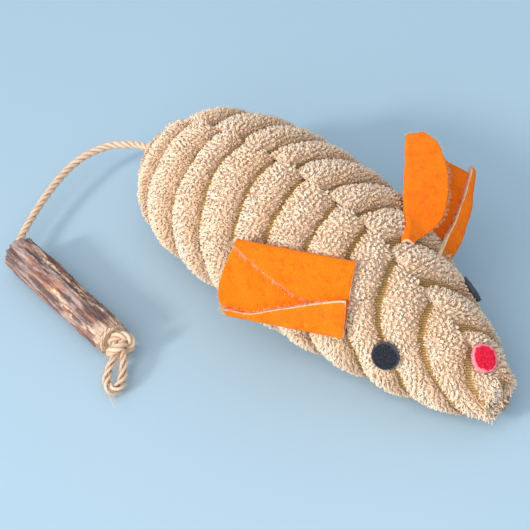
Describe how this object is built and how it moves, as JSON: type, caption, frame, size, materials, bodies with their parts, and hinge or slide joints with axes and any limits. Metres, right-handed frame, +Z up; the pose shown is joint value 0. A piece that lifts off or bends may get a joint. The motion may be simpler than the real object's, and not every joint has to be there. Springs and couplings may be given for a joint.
{
  "type": "plush mouse cat toy",
  "caption": "Wide-wale plush mouse cat toy with folded orange felt ears, felt eyes and nose, and a twisted cord tail threaded through a bark-covered wooden chew stick.",
  "frame": {"origin": "middle of the flat belly, on the surface the toy stands on", "axes": "+Z up; nose towards -Y and tail towards +Y; the mouse's left side is +X"},
  "size_m": [0.1021, 0.1419, 0.0434],
  "materials": {
    "plush": "matte",
    "stuffing": "matte",
    "thread": "matte",
    "eye_felt": "matte",
    "nose_felt": "matte",
    "ear_felt": "matte",
    "jute": "matte",
    "wood": "matte",
    "bark": "matte"
  },
  "bodies": {
    "body": {"right_body_panel": "plush", "left_body_panel": "plush", "fibre_stuffing": "stuffing", "back_seam_thread": "thread", "belly_seam_thread": "thread", "closing_stitches": "thread", "right_eye": "eye_felt", "left_eye": "eye_felt", "nose": "nose_felt", "right_ear_stitches": "thread", "left_ear_stitches": "thread", "tail_anchor_knot": "jute"},
    "right_ear": {"right_ear": "ear_felt"},
    "left_ear": {"left_ear": "ear_felt"},
    "tail": {"tail_cord": "jute", "end_knot": "jute", "end_loop": "jute"},
    "stick": {"stick_core": "wood", "stick_bark": "bark"}
  },
  "joints": [
    {"name": "right_ear_flap", "type": "hinge", "parent": "body", "child": "right_ear", "pos_m": [-0.01385, -0.0196, 0.0283], "axis": [0.5491, 0.3306, 0.7676], "range_deg": [0, 50], "stiffness_Nm_per_rad": 0.02},
    {"name": "left_ear_flap", "type": "hinge", "parent": "body", "child": "left_ear", "pos_m": [0.01385, -0.0196, 0.0283], "axis": [0.5491, -0.3306, -0.7676], "range_deg": [-8, 25], "stiffness_Nm_per_rad": 0.02},
    {"name": "tail_swing", "type": "hinge", "parent": "body", "child": "tail", "pos_m": [0, 0.06, 0.015], "axis": [0, 0, 1], "range_deg": [-48, 18]},
    {"name": "stick_spin", "type": "hinge", "parent": "tail", "child": "stick", "pos_m": [-0.0467, 0.0494, 0.005], "axis": [-0.0822, -0.9966, 0], "continuous": true}
  ]
}
